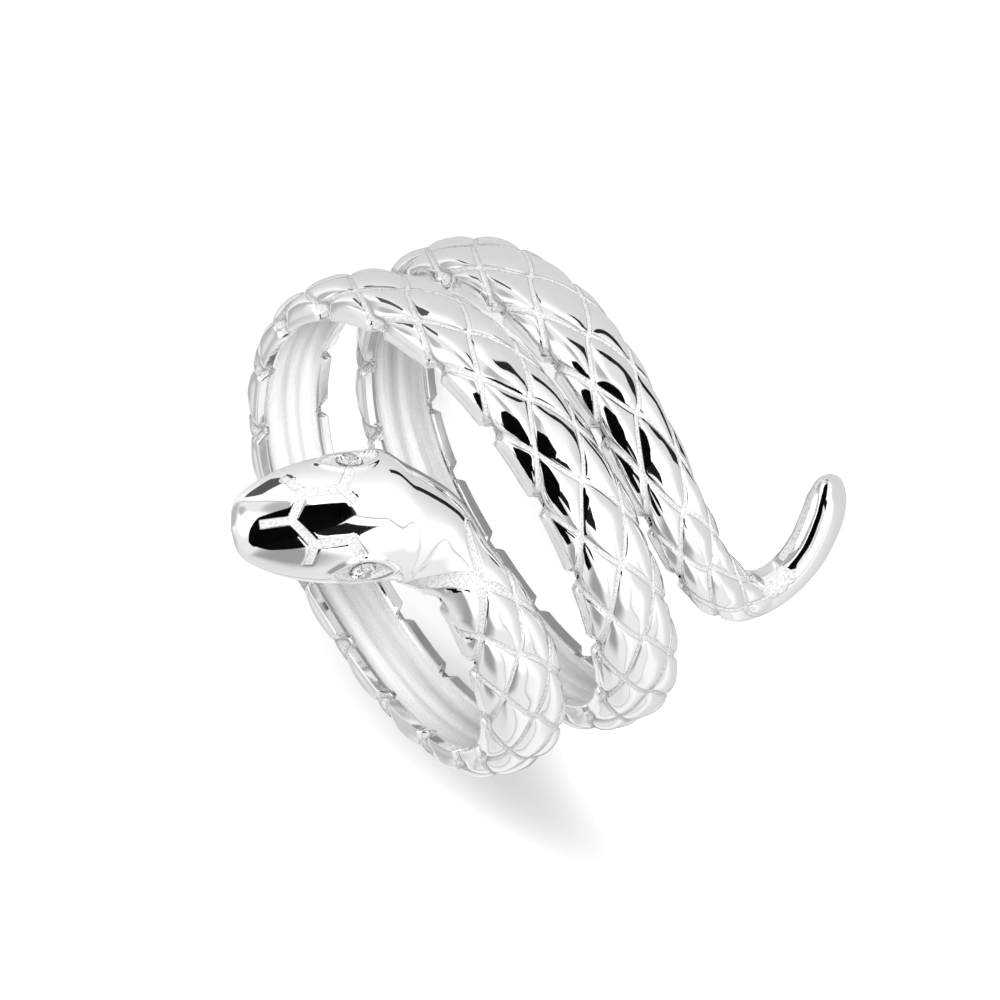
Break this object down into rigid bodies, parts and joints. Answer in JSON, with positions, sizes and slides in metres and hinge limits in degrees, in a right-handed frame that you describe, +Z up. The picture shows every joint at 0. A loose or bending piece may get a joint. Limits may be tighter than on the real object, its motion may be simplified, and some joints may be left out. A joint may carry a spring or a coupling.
{
  "type": "snake ring",
  "caption": "Coiled snake finger ring with a grooved scale pattern, a smooth flat head with small stone eyes and a thin curled tail.",
  "frame": {"origin": "middle of the bounding box, on the ground that the ring lies on", "axes": "+Z up from the ground, +Y along the longest extent; the finger hole leans in the YZ plane with the head end up"},
  "size_m": [0.0202, 0.0224, 0.0207],
  "materials": {
    "silver": "polished cast silver, frosted in the grooves and on the hollow back",
    "eye_stone": "clear faceted stone"
  },
  "bodies": {
    "root": {"snake_body": "silver", "eye_stone_left": "eye_stone", "eye_stone_right": "eye_stone"}
  },
  "joints": []
}
